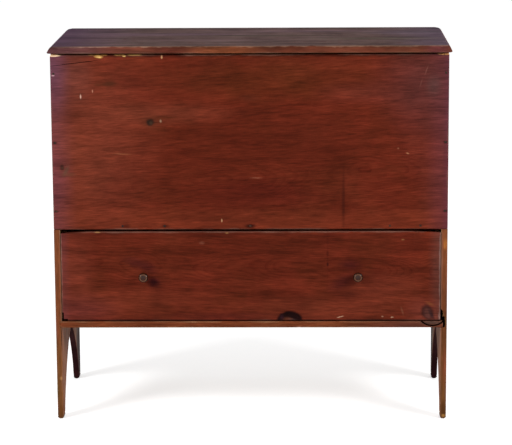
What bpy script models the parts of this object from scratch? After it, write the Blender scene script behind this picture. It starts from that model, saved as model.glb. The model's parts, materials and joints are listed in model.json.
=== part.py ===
"""A pine blanket chest with a lift lid and one long drawer. Metres, +Z up, front towards -Y."""

import math

import bmesh
import bpy
from mathutils import Matrix

# Case
CASE_WIDTH = 1.052  # over the outer faces of the end boards
CASE_DEPTH = 0.470  # face of the front board to the back of the back boards
CASE_HEIGHT = 0.9945  # floor to the top of the end boards
END_THICKNESS = 0.0165
FRONT_THICKNESS = 0.019
BACK_THICKNESS = 0.016
BOTTOM_THICKNESS = 0.019  # floor of the chest well
BACK_BOARDS = ("top", "middle", "bottom")
BOARD_SEAM = 0.0008  # open seam between boards laid edge to edge
FRONT_TOP_GAP = 0.004  # the shrunken front board stops this far below the lid
HOUSING_DEPTH = 0.006  # how far boards are let into the end boards
RABBET_WIDTH = 0.008  # how far the back boards lap onto the end boards

# Feet: the arch between them is a superellipse
FOOT_LENGTH = 0.038  # each foot along the floor
ARCH_BELOW_RAIL = 0.0495  # wood left between the top of the arch and the rail
ARCH_FULLNESS = 1.45  # 2 would be a plain ellipse, less is more pointed
ARCH_STEPS = 20
FOOT_ROUND = 0.005  # worn long edges of the feet

# Drawer opening
RAIL_UNDERSIDE = 0.2525  # above the floor
RAIL_THICKNESS = 0.017
RAIL_DEPTH = 0.070
OPENING_HEIGHT = 0.252
RUNNER_WIDTH = 0.030
STOP_HEIGHT = 0.020

# Drawer
DRAWER_FRONT_THICKNESS = 0.020
DRAWER_SIDE_THICKNESS = 0.012
DRAWER_BACK_THICKNESS = 0.012
DRAWER_BACK_SPACE = 0.034  # behind the drawer, filled at each end by a stop
DRAWER_SIDE_CLEARANCE = 0.0015
DRAWER_FOOT_CLEARANCE = 0.002  # drawer front above the rail
DRAWER_TOP_CLEARANCE = 0.006  # drawer front below the front board
SIDE_TOP_DROP = 0.005  # sides are lower than the drawer front
BACK_TOP_DROP = 0.012  # back is lower than the drawer front
PANEL_THICKNESS = 0.009
PANEL_EDGE = 0.0055  # thickness left at the bevelled edge of the drawer bottom
PANEL_BEVEL = 0.035  # width of that bevel
GROOVE_DEPTH = 0.005
GROOVE_RISE = 0.012  # groove above the lower edge of the sides
FRONT_LAP = 0.006  # wood left in front of the half-blind dovetails
TAIL_COUNT = 4
TAIL_SHARE = 0.6  # width of a tail at its root, as a share of the spacing
TAIL_SLOPE = 1 / 6

# Knobs
KNOB_RADIUS = 0.0135
KNOB_NECK_RADIUS = 0.0075
KNOB_FOOT_RADIUS = 0.0095
KNOB_HEIGHT = 0.022
KNOB_RIM_HEIGHT = 0.015  # widest part above the drawer front
KNOB_WAIST_HEIGHT = 0.005  # narrowest part above the drawer front
KNOB_LIP_RADIUS = 0.0085  # ring round the dished face
KNOB_DISH = 0.0015  # hollow in the middle of the face
KNOB_TENON_RADIUS = 0.005
KNOB_SPACING = 0.574

# Lid
LID_THICKNESS = 0.019
LID_SIDE_OVERHANG = 0.008
LID_FRONT_OVERHANG = 0.013
LID_REAR_CORNER = 0.025
LID_FRONT_EASE = 0.004  # how much the front corners in plan are rounder than the top edge
LID_TOP_ROUND = 0.007
LID_UNDER_ROUND = 0.003
CORNER_STEPS = 6

# Hinges
HINGE_LENGTH = 0.060
KNUCKLES = 3  # the middle one is the lid leaf's
HINGE_INSET = 0.170  # middle of a hinge from the outer face of the end board
LEAF_WIDTH = 0.013
LEAF_THICKNESS = 0.002
TONGUE_INSET = 0.0005  # tongue of a leaf inside the ends of its knuckle
PIN_RADIUS = 0.0017
KNUCKLE_WALL = 0.002
SCREW_HEAD_RADIUS = 0.0030
SCREW_HEAD_DEPTH = 0.0016
SCREW_RADIUS = 0.0014
SCREW_COVER = 0.006  # wood left above the tip of a lid screw
SCREW_END_DISTANCE = 0.012  # from the end of the leaf

# Nails, forged square
NAIL_LENGTH = 0.038
NAIL_HEAD = 0.0036  # half diagonals of the head, of the shank below it and of the tip
NAIL_SHANK = 0.0019
NAIL_TIP = 0.0008
NAIL_HEAD_DEPTH = 0.0015
PANEL_NAIL_LENGTH = 0.020
FRONT_NAIL_ROWS = 3
FRONT_NAIL_MARGIN = 0.050
BOTTOM_NAILS = (-0.67, -0.45, 0.0, 0.73, 0.89)  # hand driven, as shares of half the inside width
PANEL_NAIL_SPACING = 0.500

# Fits
GAP = 0.0003  # between pieces that touch
OVERCUT = 0.004  # how far a cut runs past the wood

# Fineness of the shapes
FLAT_ANGLE = 0.002  # faces that differ by less than this, in radians, are one face
WELD = 0.00001
AXIS_WELD = 0.00005
ROUND_SEGMENTS = 4
ROUND_PROFILE = 0.5  # a circular arc
ROUND_SHARE = 0.4  # the most of a board's thickness that one rounded edge takes
KNOB_ARC_STEPS = 4
ROUND_SIDES = 24
SCREW_SIDES = 12
NAIL_SIDES = 4

# Places worked out from the sizes above
BARREL_RADIUS = PIN_RADIUS + GAP + KNUCKLE_WALL
FRONT_Y = (KNOB_HEIGHT - CASE_DEPTH - GAP - 2 * BARREL_RADIUS) / 2
BACK_Y = FRONT_Y + CASE_DEPTH
HALF_WIDTH = CASE_WIDTH / 2
HALF_INSIDE = HALF_WIDTH - END_THICKNESS
FRONT_INNER_Y = FRONT_Y + FRONT_THICKNESS
BACK_INNER_Y = BACK_Y - BACK_THICKNESS
RAIL_TOP = RAIL_UNDERSIDE + RAIL_THICKNESS
OPENING_TOP = RAIL_TOP + OPENING_HEIGHT
ARCH_HEIGHT = RAIL_UNDERSIDE - ARCH_BELOW_RAIL
LID_UNDERSIDE = CASE_HEIGHT + GAP
LID_TOP = LID_UNDERSIDE + LID_THICKNESS
HINGE_REACH = GAP + BARREL_RADIUS  # from the back of the chest to the hinge pin
HINGE_Y = BACK_Y + HINGE_REACH
HINGE_Z = CASE_HEIGHT + GAP / 2
SCREW_LENGTH = LID_THICKNESS - SCREW_COVER
DRAWER_HALF = HALF_INSIDE - DRAWER_SIDE_CLEARANCE
DRAWER_INNER_HALF = DRAWER_HALF - DRAWER_SIDE_THICKNESS
DRAWER_FRONT_FOOT = RAIL_TOP + DRAWER_FOOT_CLEARANCE
DRAWER_FRONT_TOP = OPENING_TOP - DRAWER_TOP_CLEARANCE
DRAWER_FRONT_INNER_Y = FRONT_Y + DRAWER_FRONT_THICKNESS
DRAWER_REAR_Y = BACK_INNER_Y - DRAWER_BACK_SPACE
DRAWER_BACK_INNER_Y = DRAWER_REAR_Y - DRAWER_BACK_THICKNESS
SIDE_FOOT = RAIL_TOP + GAP
SIDE_TOP = DRAWER_FRONT_TOP - SIDE_TOP_DROP
PANEL_SLOPE = (PANEL_THICKNESS - PANEL_EDGE) / PANEL_BEVEL
GROOVE_FOOT = SIDE_FOOT + GROOVE_RISE
GROOVE_TOP = GROOVE_FOOT + PANEL_EDGE + PANEL_SLOPE * GROOVE_DEPTH + 2 * GAP
PANEL_TOP = GROOVE_TOP - GAP
DRAWER_BACK_FOOT = PANEL_TOP + GAP
DRAWER_BACK_TOP = DRAWER_FRONT_TOP - BACK_TOP_DROP

# Turns that point a fastener's head, or a turned axis, along a world direction
FACE_FRONT = (math.pi / 2, 0.0, 0.0)
FACE_BACK = (-math.pi / 2, 0.0, 0.0)
FACE_LEFT = (0.0, -math.pi / 2, 0.0)
FACE_RIGHT = (0.0, math.pi / 2, 0.0)
FACE_UP = (0.0, 0.0, 0.0)
FACE_DOWN = (math.pi, 0.0, 0.0)
END_VIEW = (math.pi / 2, 0.0, math.pi / 2)  # an outline's X and Y lie along world Y and Z
SIDES = (("left", -1), ("right", 1))


def empty_scene():
    for obj in list(bpy.data.objects):
        bpy.data.objects.remove(obj, do_unlink=True)


def new_collection(name):
    collection = bpy.data.collections.new(name)
    bpy.context.scene.collection.children.link(collection)
    return collection


def paint(name, colour, roughness, metallic=0.0):
    material = bpy.data.materials.new(name)
    material.use_nodes = True
    shader = material.node_tree.nodes["Principled BSDF"]
    shader.inputs["Base Color"].default_value = (*colour, 1.0)
    shader.inputs["Roughness"].default_value = roughness
    shader.inputs["Metallic"].default_value = metallic
    return material


empty_scene()
PARTS = new_collection("blanket_chest")
CUTTERS = new_collection("cutters")
RED_PINE = paint("red_stained_pine", (0.120, 0.024, 0.012), 0.55)
LID_PINE = paint("weathered_lid_pine", (0.085, 0.045, 0.045), 0.60)
BARE_PINE = paint("bare_pine", (0.330, 0.190, 0.090), 0.75)
KNOB_WOOD = paint("turned_knob_wood", (0.110, 0.045, 0.020), 0.40)
IRON = paint("old_iron", (0.040, 0.036, 0.033), 0.60, 0.9)


def part(obj, material, parent=None):
    """Puts a finished piece in the chest, carried by the empty that moves it."""
    PARTS.objects.link(obj)
    obj.data.materials.append(material)
    if parent:
        obj.parent = parent
        obj.matrix_parent_inverse = Matrix.Translation(parent.location).inverted()
    return obj


def cutter(obj):
    CUTTERS.objects.link(obj)
    obj.display_type = "WIRE"
    obj.hide_render = True
    return obj


def combine(obj, operation, tools):
    for tool in tools:
        modifier = obj.modifiers.new(operation.lower(), "BOOLEAN")
        modifier.operation = operation
        modifier.solver = "EXACT"
        modifier.object = tool


def cut(obj, *tools):
    combine(obj, "DIFFERENCE", tools)


def join(obj, *tools):
    combine(obj, "UNION", tools)


def pivot(name, location):
    empty = bpy.data.objects.new(name, None)
    empty.location = location
    PARTS.objects.link(empty)
    return empty


def box(name, low, high):
    """A rectangular board between two opposite corners, with its origin at its middle."""
    size = [b - a for a, b in zip(low, high)]
    mesh = bpy.data.meshes.new(name)
    shape = bmesh.new()
    bmesh.ops.create_cube(shape, size=1.0, matrix=Matrix.Diagonal((*size, 1.0)))
    shape.to_mesh(mesh)
    shape.free()
    obj = bpy.data.objects.new(name, mesh)
    obj.location = [(a + b) / 2 for a, b in zip(low, high)]
    return obj


def arc(middle, radius, start, stop, steps):
    """Points of a circular arc, ends included, with angles in degrees."""
    angles = [math.radians(start + (stop - start) * i / steps) for i in range(steps + 1)]
    return [(middle[0] + radius * math.cos(a), middle[1] + radius * math.sin(a)) for a in angles]


def extruded(name, outline, middle, thickness, rotation=FACE_UP):
    """A closed outline in local X and Y, made into a board of this thickness along local Z."""
    curve = bpy.data.curves.new(name, "CURVE")
    curve.dimensions = "2D"
    curve.fill_mode = "BOTH"
    curve.extrude = thickness / 2
    spline = curve.splines.new("POLY")
    spline.points.add(len(outline) - 1)
    for point, (x, y) in zip(spline.points, outline):
        point.co = (x, y, 0.0, 1.0)
    spline.use_cyclic_u = True
    drawn = bpy.data.objects.new(name + "_outline", curve)
    drawn.location = middle
    drawn.rotation_euler = rotation
    CUTTERS.objects.link(drawn)
    graph = bpy.context.evaluated_depsgraph_get()
    mesh = bpy.data.meshes.new_from_object(drawn.evaluated_get(graph))
    shape = bmesh.new()
    shape.from_mesh(mesh)
    bmesh.ops.remove_doubles(shape, verts=shape.verts, dist=WELD)
    bmesh.ops.dissolve_limit(shape, angle_limit=FLAT_ANGLE, verts=shape.verts, edges=shape.edges)
    bmesh.ops.recalc_face_normals(shape, faces=shape.faces)
    shape.to_mesh(mesh)
    shape.free()
    obj = bpy.data.objects.new(name, mesh)
    obj.matrix_world = drawn.matrix_world.copy()
    bpy.data.objects.remove(drawn)
    return obj


def turned(name, profile, steps, location, rotation):
    """A profile of (radius, height) points, from the top of the axis to its foot, turned about local Z."""
    start = math.pi / steps
    points = [(r * math.cos(start), r * math.sin(start), h) for r, h in profile]
    mesh = bpy.data.meshes.new(name)
    mesh.from_pydata(points, [(i, i + 1) for i in range(len(points) - 1)], [])
    obj = bpy.data.objects.new(name, mesh)
    obj.location = location
    obj.rotation_euler = rotation
    turn = obj.modifiers.new("turn", "SCREW")
    turn.steps = steps
    turn.render_steps = steps
    turn.use_merge_vertices = True
    turn.merge_threshold = AXIS_WELD
    turn.use_smooth_shade = steps > NAIL_SIDES
    return obj


def rounded(obj, radius, wall, wanted):
    """Rounds the edges of a board, as far as its wall allows, that the given test picks by their two ends."""
    radius = min(radius, wall * ROUND_SHARE)
    shape = bmesh.new()
    shape.from_mesh(obj.data)
    edges = [e for e in shape.edges if wanted(e.verts[0].co, e.verts[1].co)]
    style = {"segments": ROUND_SEGMENTS, "profile": ROUND_PROFILE, "affect": "EDGES"}
    bmesh.ops.bevel(shape, geom=edges, offset=radius, **style)
    shape.to_mesh(obj.data)
    shape.free()


def rod(name, radius, length, middle, rotation):
    """A round bar along local Z, with flat sides that face the directions of the boards."""
    start = 180 / ROUND_SIDES
    ring = arc((0.0, 0.0), radius, start, start + 360, ROUND_SIDES)
    return extruded(name, ring[:-1], middle, length, rotation)


def nail(name, location, rotation, boards, length=NAIL_LENGTH, parent=None):
    """A square nail driven flush at a point, with its hole in the boards that it holds."""
    profile = [(0, 0), (NAIL_HEAD, 0), (NAIL_HEAD, -NAIL_HEAD_DEPTH), (NAIL_SHANK, -NAIL_HEAD_DEPTH)]
    profile += [(NAIL_TIP, -length), (0, -length)]
    part(turned(name, profile, NAIL_SIDES, location, rotation), IRON, parent)
    loose = GAP * math.sqrt(2)
    seat = -NAIL_HEAD_DEPTH - GAP
    hole = [(0, OVERCUT), (NAIL_HEAD + loose, OVERCUT), (NAIL_HEAD + loose, seat), (NAIL_SHANK + loose, seat)]
    hole += [(NAIL_TIP + loose, -length - GAP), (0, -length - GAP)]
    tool = cutter(turned(name + "_hole", hole, NAIL_SIDES, location, rotation))
    for board in boards:
        cut(board, tool)


def screw(name, location, rotation, boards, parent=None):
    """A countersunk wood screw with its head flush at a point."""
    profile = [(0, 0), (SCREW_HEAD_RADIUS, 0), (SCREW_RADIUS, -SCREW_HEAD_DEPTH)]
    profile += [(SCREW_RADIUS, -SCREW_LENGTH + SCREW_HEAD_DEPTH), (0, -SCREW_LENGTH)]
    part(turned(name, profile, SCREW_SIDES, location, rotation), IRON, parent)
    head = SCREW_HEAD_RADIUS + GAP
    hole = [(0, OVERCUT), (head, OVERCUT), (head, -GAP), (SCREW_RADIUS + GAP, -SCREW_HEAD_DEPTH)]
    hole += [(SCREW_RADIUS + GAP, -SCREW_LENGTH - GAP), (0, -SCREW_LENGTH - GAP)]
    tool = cutter(turned(name + "_hole", hole, SCREW_SIDES, location, rotation))
    for board in boards:
        cut(board, tool)


def end_outline():
    """Side view of an end board: two feet, the arch between them and the notch that takes the front board."""
    half_span = CASE_DEPTH / 2 - FOOT_LENGTH
    middle = (FRONT_Y + BACK_Y) / 2
    arch = []
    for i in range(ARCH_STEPS + 1):
        turn = math.pi * i / ARCH_STEPS
        across = math.copysign(abs(math.cos(turn)) ** (2 / ARCH_FULLNESS), -math.cos(turn))
        up = math.sin(turn) ** (2 / ARCH_FULLNESS) if 0 < i < ARCH_STEPS else 0.0
        arch.append((middle + half_span * across, ARCH_HEIGHT * up))
    notch_y = FRONT_INNER_Y + GAP
    notch_z = OPENING_TOP - GAP
    outline = [(FRONT_Y, 0.0)] + arch
    outline += [(BACK_Y, 0.0), (BACK_Y, CASE_HEIGHT), (notch_y, CASE_HEIGHT), (notch_y, notch_z)]
    return outline + [(FRONT_Y, notch_z)]


def housing(name, side, foot, top, front_y):
    """Cutter for a groove across an end board's inner face that takes a shelf between two heights."""
    inner = side * (HALF_INSIDE - OVERCUT)
    outer = side * (HALF_INSIDE + HOUSING_DEPTH)
    low = (min(inner, outer), front_y, foot - GAP)
    high = (max(inner, outer), BACK_INNER_Y, top + GAP)
    return cutter(box(name, low, high))


def along_foot(a, b):
    return max(abs(a.y), abs(b.y)) < GAP and abs(a.z - b.z) < GAP


def end_boards():
    boards = {}
    for name, side in SIDES:
        middle = (side * (HALF_WIDTH - END_THICKNESS / 2), 0.0, 0.0)
        board = extruded(f"{name}_end_board", end_outline(), middle, END_THICKNESS, END_VIEW)
        rounded(board, FOOT_ROUND, END_THICKNESS, along_foot)
        inner = side * (HALF_INSIDE - OVERCUT)
        outer = side * (HALF_INSIDE + RABBET_WIDTH)
        low = (min(inner, outer), BACK_INNER_Y - GAP, RAIL_UNDERSIDE - GAP)
        high = (max(inner, outer), BACK_Y + OVERCUT, CASE_HEIGHT + OVERCUT)
        cut(board, cutter(box(f"{name}_rabbet", low, high)))
        shelf_top = OPENING_TOP + BOTTOM_THICKNESS
        cut(board, housing(f"{name}_shelf_housing", side, OPENING_TOP, shelf_top, FRONT_INNER_Y))
        cut(board, housing(f"{name}_rail_housing", side, RAIL_UNDERSIDE, RAIL_TOP, FRONT_Y - OVERCUT))
        boards[name] = part(board, RED_PINE)
    return boards


def front_board():
    low = (-HALF_WIDTH, FRONT_Y, OPENING_TOP)
    high = (HALF_WIDTH, FRONT_INNER_Y, CASE_HEIGHT - FRONT_TOP_GAP)
    return part(box("front_board", low, high), RED_PINE)


def back_boards():
    """Boards laid one above the other in the rabbets, the top one first."""
    half = HALF_INSIDE + RABBET_WIDTH - GAP
    seams = BOARD_SEAM * (len(BACK_BOARDS) - 1)
    height = (CASE_HEIGHT - RAIL_UNDERSIDE - seams) / len(BACK_BOARDS)
    boards = []
    for i, name in enumerate(BACK_BOARDS):
        top = CASE_HEIGHT - i * (height + BOARD_SEAM)
        board = box(f"back_board_{name}", (-half, BACK_INNER_Y, top - height), (half, BACK_Y, top))
        boards.append(part(board, RED_PINE))
    return boards


def chest_bottom():
    """Floor of the well: two boards side by side, let into the end boards."""
    half = HALF_INSIDE + HOUSING_DEPTH - GAP
    front = FRONT_INNER_Y + GAP
    back = BACK_INNER_Y - GAP
    width = (back - front - BOARD_SEAM) / 2
    boards = []
    for name, start in (("front", front), ("rear", back - width)):
        low = (-half, start, OPENING_TOP)
        high = (half, start + width, OPENING_TOP + BOTTOM_THICKNESS)
        boards.append(part(box(f"chest_bottom_{name}", low, high), BARE_PINE))
    return boards


def drawer_frame():
    """Rail across the front, a runner at each end on one level with it, and a stop on each runner."""
    half = HALF_INSIDE + HOUSING_DEPTH - GAP
    rail_back = FRONT_Y + RAIL_DEPTH
    part(box("drawer_rail", (-half, FRONT_Y, RAIL_UNDERSIDE), (half, rail_back, RAIL_TOP)), RED_PINE)
    for name, side in SIDES:
        inner = side * (HALF_INSIDE - RUNNER_WIDTH)
        low = (min(inner, side * half), rail_back + GAP, RAIL_UNDERSIDE)
        high = (max(inner, side * half), BACK_INNER_Y - GAP, RAIL_TOP)
        part(box(f"drawer_runner_{name}", low, high), BARE_PINE)
        wall = side * (HALF_INSIDE - GAP)
        low = (min(inner, wall), DRAWER_REAR_Y + GAP, RAIL_TOP + GAP)
        high = (max(inner, wall), BACK_INNER_Y - GAP, RAIL_TOP + GAP + STOP_HEIGHT)
        part(box(f"drawer_stop_{name}", low, high), BARE_PINE)


def case_nails(ends, front, backs, bottoms):
    """Nails that hold the front, the back and the well's floor to the end boards."""
    shelf_middle = OPENING_TOP + BOTTOM_THICKNESS / 2
    front_top = CASE_HEIGHT - FRONT_TOP_GAP
    rise = (front_top - OPENING_TOP - 2 * FRONT_NAIL_MARGIN) / (FRONT_NAIL_ROWS - 1)
    for name, side in SIDES:
        edge = side * (HALF_WIDTH - END_THICKNESS / 2)
        for row in range(FRONT_NAIL_ROWS):
            place = (edge, FRONT_Y, OPENING_TOP + FRONT_NAIL_MARGIN + row * rise)
            nail(f"front_nail_{name}_{row + 1}", place, FACE_FRONT, (front, ends[name]))
        lap = side * (HALF_INSIDE + RABBET_WIDTH / 2)
        for board in backs:
            place = (lap, BACK_Y, board.location.z)
            nail(board.name.replace("board", "nail") + f"_{name}", place, FACE_BACK, (board, ends[name]))
        for board in bottoms:
            place = (side * HALF_WIDTH, board.location.y, shelf_middle)
            facing = FACE_RIGHT if side > 0 else FACE_LEFT
            nail(f"end_nail_{name}_" + board.name.split("_")[-1], place, facing, (ends[name], board))
    for i, share in enumerate(BOTTOM_NAILS):
        place = (share * HALF_INSIDE, FRONT_Y, shelf_middle)
        nail(f"front_nail_bottom_{i + 1}", place, FACE_FRONT, (front, bottoms[0]))


def lid_board(hinge):
    half = HALF_WIDTH + LID_SIDE_OVERHANG
    front = FRONT_Y - LID_FRONT_OVERHANG
    front_corner = LID_TOP_ROUND + LID_FRONT_EASE
    rear_middle = (half - LID_REAR_CORNER, BACK_Y - LID_REAR_CORNER)
    front_middle = (half - front_corner, front + front_corner)
    right = arc(front_middle, front_corner, -90, 0, CORNER_STEPS)
    right += arc(rear_middle, LID_REAR_CORNER, 0, 90, CORNER_STEPS)
    outline = right + [(-x, y) for x, y in reversed(right)]
    board = extruded("lid", outline, (0.0, 0.0, (LID_UNDERSIDE + LID_TOP) / 2), LID_THICKNESS)
    rounded(board, LID_TOP_ROUND, LID_THICKNESS, lambda a, b: min(a.z, b.z) > LID_THICKNESS / 2 - GAP)
    rounded(board, LID_UNDER_ROUND, LID_THICKNESS, lambda a, b: max(a.z, b.z) < GAP - LID_THICKNESS / 2)
    return part(board, LID_PINE, hinge)


def leaf_plan(outer_knuckles):
    """Plan of a hinge leaf about its pin, with a tongue under each knuckle, and the runs of the knuckles."""
    half = HINGE_LENGTH / 2
    step = half / KNUCKLES + (GAP / 2 if outer_knuckles else -GAP / 2)
    runs = [(-half, -step), (step, half)] if outer_knuckles else [(-step, step)]
    inner = -HINGE_REACH - LEAF_WIDTH
    outline = [(half, inner), (-half, inner), (-half, -HINGE_REACH)]
    for start, stop in runs:
        left = start + TONGUE_INSET
        right = stop - TONGUE_INSET
        outline += [(left, -HINGE_REACH), (left, 0.0), (right, 0.0), (right, -HINGE_REACH)]
    return outline + [(half, -HINGE_REACH)], runs


def hinge_leaf(name, x, outer_knuckles, foot, parent):
    outline, runs = leaf_plan(outer_knuckles)
    plate = extruded(name, outline, (x, HINGE_Y, foot + LEAF_THICKNESS / 2), LEAF_THICKNESS)
    for i, (start, stop) in enumerate(runs):
        middle = (x + (start + stop) / 2, HINGE_Y, HINGE_Z)
        join(plate, cutter(rod(f"{name}_knuckle_{i + 1}", BARREL_RADIUS, stop - start, middle, FACE_RIGHT)))
    return part(plate, IRON, parent)


def mortise(name, x, foot, top):
    """Cutter for a hinge leaf's shallow seat."""
    low = (x - HINGE_LENGTH / 2 - GAP, BACK_Y - LEAF_WIDTH - GAP, foot)
    return cutter(box(name, low, (x + HINGE_LENGTH / 2 + GAP, BACK_Y + OVERCUT, top)))


def hinges(lid, back, axis):
    screw_offset = HINGE_LENGTH / 2 - SCREW_END_DISTANCE
    for name, side in SIDES:
        x = side * (HALF_WIDTH - HINGE_INSET)
        case_leaf = hinge_leaf(f"hinge_{name}_case_leaf", x, True, CASE_HEIGHT - LEAF_THICKNESS, None)
        lid_leaf = hinge_leaf(f"hinge_{name}_lid_leaf", x, False, LID_UNDERSIDE, axis)
        part(rod(f"hinge_{name}_pin", PIN_RADIUS, HINGE_LENGTH, (x, HINGE_Y, HINGE_Z), FACE_RIGHT), IRON)
        seat = LEAF_THICKNESS + GAP
        cut(back, mortise(f"{name}_case_mortise", x, CASE_HEIGHT - seat, CASE_HEIGHT + OVERCUT))
        cut(lid, mortise(f"{name}_lid_mortise", x, LID_UNDERSIDE - OVERCUT, LID_UNDERSIDE + seat))
        for i, offset in enumerate((-screw_offset, screw_offset)):
            y = BACK_Y - LEAF_WIDTH / 2
            place = (x + offset, y, CASE_HEIGHT)
            screw(f"hinge_{name}_case_screw_{i + 1}", place, FACE_UP, (case_leaf, back))
            place = (x + offset, y, LID_UNDERSIDE)
            screw(f"hinge_{name}_lid_screw_{i + 1}", place, FACE_DOWN, (lid_leaf, lid), axis)
        length = HINGE_LENGTH + 2 * OVERCUT
        bore = cutter(rod(f"hinge_{name}_bore", PIN_RADIUS + GAP, length, (x, HINGE_Y, HINGE_Z), FACE_RIGHT))
        cut(case_leaf, bore)
        cut(lid_leaf, bore)


def tail_middles(low, high):
    pitch = (high - low) / TAIL_COUNT
    return [low + pitch * (i + 0.5) for i in range(TAIL_COUNT)], pitch * TAIL_SHARE / 2


def dovetail(root_y, toward, middle, half_root, first, last, grow=0.0):
    """Corners of a tail that widens away from root_y, between two distances from it."""
    near = half_root + first * TAIL_SLOPE + grow
    far = half_root + last * TAIL_SLOPE + grow
    start = root_y + toward * first
    end = root_y + toward * last
    return [(start, middle - near), (end, middle - far), (end, middle + far), (start, middle + near)]


def tails(root_y, toward, low, high, length):
    middles, half_root = tail_middles(low, high)
    points = []
    for middle in middles:
        points += dovetail(root_y, toward, middle, half_root, 0.0, length)
    return points


def cut_sockets(board, root_y, toward, low, high, depth):
    """Cuts the sockets at both ends of a board that the tails of the drawer sides enter."""
    middles, half_root = tail_middles(low, high)
    width = DRAWER_SIDE_THICKNESS + GAP + OVERCUT
    for name, side in SIDES:
        x = side * (DRAWER_HALF + OVERCUT - width / 2)
        for i, middle in enumerate(middles):
            outline = dovetail(root_y, toward, middle, half_root, -OVERCUT, depth, GAP)
            tool = extruded(f"{board.name}_{name}_socket_{i + 1}", outline, (x, 0.0, 0.0), width, END_VIEW)
            cut(board, cutter(tool))


def side_outline():
    """Side view of a drawer side: tails into the front at one end, tails round the back at the other."""
    front_root = DRAWER_FRONT_INNER_Y + GAP
    back_root = DRAWER_BACK_INNER_Y - GAP
    tail = front_root - FRONT_Y - FRONT_LAP
    outline = [(front_root, SIDE_FOOT)]
    outline += tails(front_root, -1, DRAWER_FRONT_FOOT, DRAWER_FRONT_TOP - SIDE_TOP_DROP, tail)
    outline += [(front_root, SIDE_TOP), (DRAWER_REAR_Y, SIDE_TOP), (DRAWER_REAR_Y, DRAWER_BACK_TOP + GAP)]
    outline += [(back_root, DRAWER_BACK_TOP + GAP)]
    rear = tails(back_root, 1, DRAWER_BACK_FOOT, DRAWER_BACK_TOP, DRAWER_REAR_Y - back_root)
    outline += rear[::-1]
    outline += [(back_root, DRAWER_BACK_FOOT - GAP), (DRAWER_REAR_Y, DRAWER_BACK_FOOT - GAP)]
    return outline + [(DRAWER_REAR_Y, SIDE_FOOT)]


def drawer_front(slide):
    low = (-DRAWER_HALF, FRONT_Y, DRAWER_FRONT_FOOT)
    high = (DRAWER_HALF, DRAWER_FRONT_INNER_Y, DRAWER_FRONT_TOP)
    board = box("drawer_front", low, high)
    root = DRAWER_FRONT_INNER_Y + GAP
    depth = root - FRONT_Y - FRONT_LAP + GAP
    cut_sockets(board, root, -1, DRAWER_FRONT_FOOT, DRAWER_FRONT_TOP - SIDE_TOP_DROP, depth)
    half = DRAWER_INNER_HALF + GROOVE_DEPTH
    low = (-half, DRAWER_FRONT_INNER_Y - GROOVE_DEPTH, GROOVE_FOOT)
    groove = box("drawer_front_groove", low, (half, DRAWER_FRONT_INNER_Y + OVERCUT, GROOVE_TOP))
    cut(board, cutter(groove))
    return part(board, RED_PINE, slide)


def drawer_sides(slide):
    for name, side in SIDES:
        middle = (side * (DRAWER_HALF - DRAWER_SIDE_THICKNESS / 2), 0.0, 0.0)
        board = extruded(f"drawer_{name}_side", side_outline(), middle, DRAWER_SIDE_THICKNESS, END_VIEW)
        inner = side * (DRAWER_INNER_HALF - OVERCUT)
        outer = side * (DRAWER_INNER_HALF + GROOVE_DEPTH)
        low = (min(inner, outer), FRONT_Y, GROOVE_FOOT)
        high = (max(inner, outer), DRAWER_REAR_Y + OVERCUT, GROOVE_TOP)
        cut(board, cutter(box(f"drawer_{name}_side_groove", low, high)))
        part(board, BARE_PINE, slide)


def drawer_back(slide):
    low = (-DRAWER_HALF, DRAWER_BACK_INNER_Y, DRAWER_BACK_FOOT)
    board = box("drawer_back", low, (DRAWER_HALF, DRAWER_REAR_Y, DRAWER_BACK_TOP))
    root = DRAWER_BACK_INNER_Y - GAP
    cut_sockets(board, root, 1, DRAWER_BACK_FOOT, DRAWER_BACK_TOP, DRAWER_BACK_THICKNESS + GAP + OVERCUT)
    return part(board, BARE_PINE, slide)


def drawer_bottom(slide):
    """Thin panel, bevelled below along its edges to enter the grooves."""
    half = DRAWER_INNER_HALF + GROOVE_DEPTH - GAP
    front = DRAWER_FRONT_INNER_Y - GROOVE_DEPTH + GAP
    foot = PANEL_TOP - PANEL_THICKNESS
    panel = box("drawer_bottom", (-half, front, foot), (half, DRAWER_REAR_Y, PANEL_TOP))
    shape = bmesh.new()
    shape.from_mesh(panel.data)
    underside = min(shape.faces, key=lambda face: face.calc_center_median().z)
    bmesh.ops.inset_region(shape, faces=[underside], thickness=PANEL_BEVEL)
    rim = [v for v in shape.verts if v.co.z < 0 and abs(v.co.x) > half - GAP]
    bmesh.ops.translate(shape, verts=rim, vec=(0.0, 0.0, PANEL_THICKNESS - PANEL_EDGE))
    shape.to_mesh(panel.data)
    shape.free()
    return part(panel, BARE_PINE, slide)


def knob_profile():
    """Outline of a turned knob: dished face, rounded rim, underside to the waist, flared foot and tenon."""
    shares = [i / KNOB_ARC_STEPS for i in range(KNOB_ARC_STEPS + 1)]
    profile = [(KNOB_LIP_RADIUS * s, KNOB_HEIGHT - KNOB_DISH * (1 - s * s)) for s in shares]
    for s in shares[1:]:
        turn = s * math.pi / 2
        out = KNOB_LIP_RADIUS + (KNOB_RADIUS - KNOB_LIP_RADIUS) * math.sin(turn)
        profile.append((out, KNOB_RIM_HEIGHT + (KNOB_HEIGHT - KNOB_RIM_HEIGHT) * math.cos(turn)))
    for s in shares[1:]:
        turn = s * math.pi / 2
        out = KNOB_NECK_RADIUS + (KNOB_RADIUS - KNOB_NECK_RADIUS) * math.cos(turn)
        profile.append((out, KNOB_RIM_HEIGHT - (KNOB_RIM_HEIGHT - KNOB_WAIST_HEIGHT) * math.sin(turn)))
    profile += [(KNOB_FOOT_RADIUS, GAP), (KNOB_TENON_RADIUS, GAP)]
    return profile + [(KNOB_TENON_RADIUS, -DRAWER_FRONT_THICKNESS), (0.0, -DRAWER_FRONT_THICKNESS)]


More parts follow.
